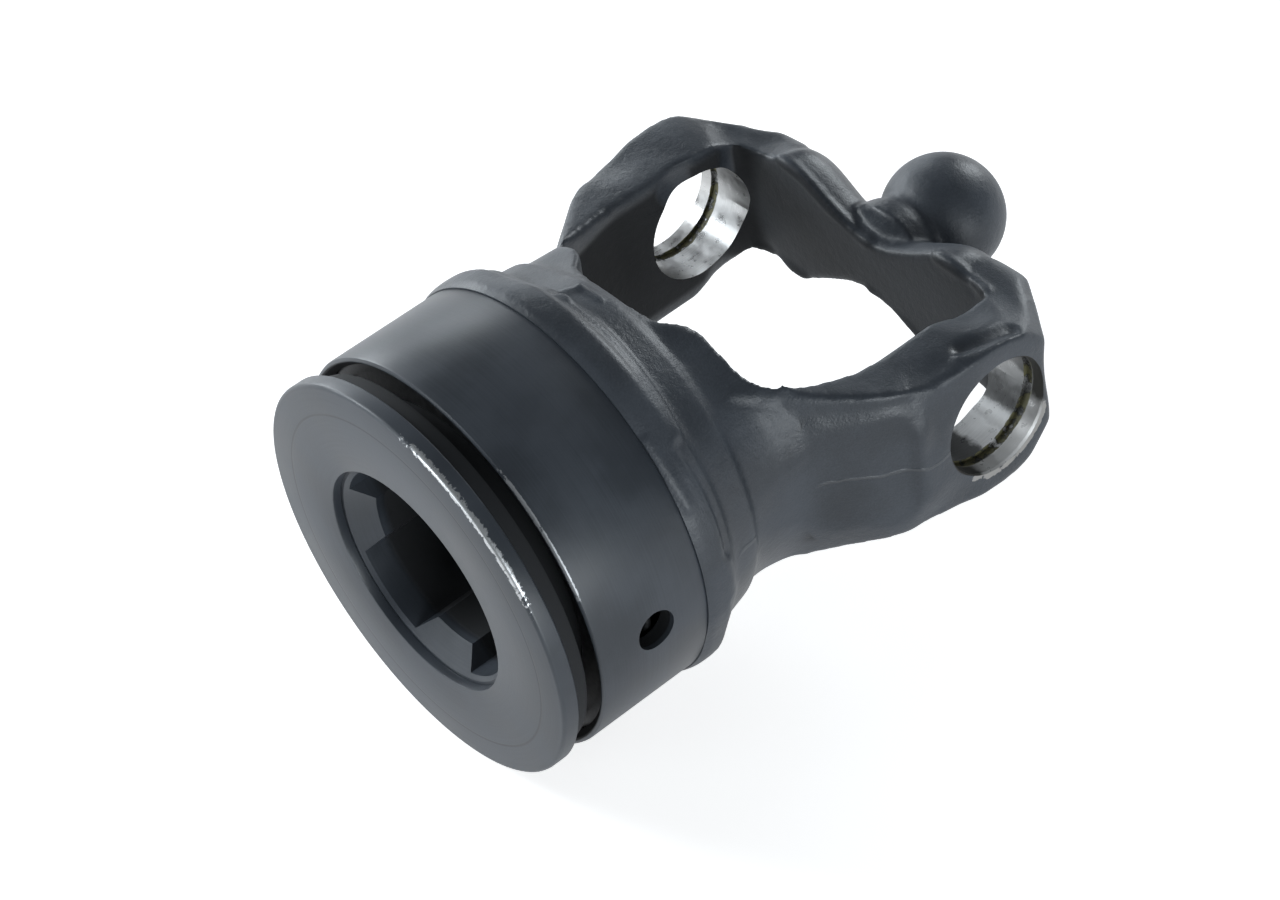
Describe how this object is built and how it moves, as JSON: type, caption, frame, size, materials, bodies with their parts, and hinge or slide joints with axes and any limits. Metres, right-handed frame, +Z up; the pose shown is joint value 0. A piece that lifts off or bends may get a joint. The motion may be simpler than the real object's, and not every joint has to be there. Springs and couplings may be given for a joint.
{
  "type": "driveshaft yoke",
  "caption": "Forged wide-angle driveshaft yoke with a splined hub, a spring-loaded pull ring, two cross bores and a centring ball on a bridge.",
  "frame": {"origin": "centre of the cross bore, where the cross bore's axis meets the shaft axis", "axes": "+X along the shaft axis towards the centring ball, +Y along the cross bore, +Z up"},
  "size_m": [0.1627, 0.1072, 0.094],
  "materials": {
    "yoke_paint": "satin",
    "ring_paint": "satin",
    "washer_steel": "satin",
    "ring_steel": "satin",
    "spring_steel": "satin",
    "ball_steel": "polished"
  },
  "bodies": {
    "yoke_body": {"yoke": "yoke_paint", "spring_washer": "washer_steel", "retaining_ring": "ring_steel", "lock_spring": "spring_steel", "lock_balls": "ball_steel"},
    "ring_body": {"pull_ring": "ring_paint"}
  },
  "joints": [
    {"name": "ring_pull", "type": "slide", "parent": "yoke_body", "child": "ring_body", "axis": [-1, 0, 0], "range_m": [0, 0.008], "stiffness_N_per_m": 2500, "springref_m": -0.012, "deforming": ["lock_spring"]}
  ]
}
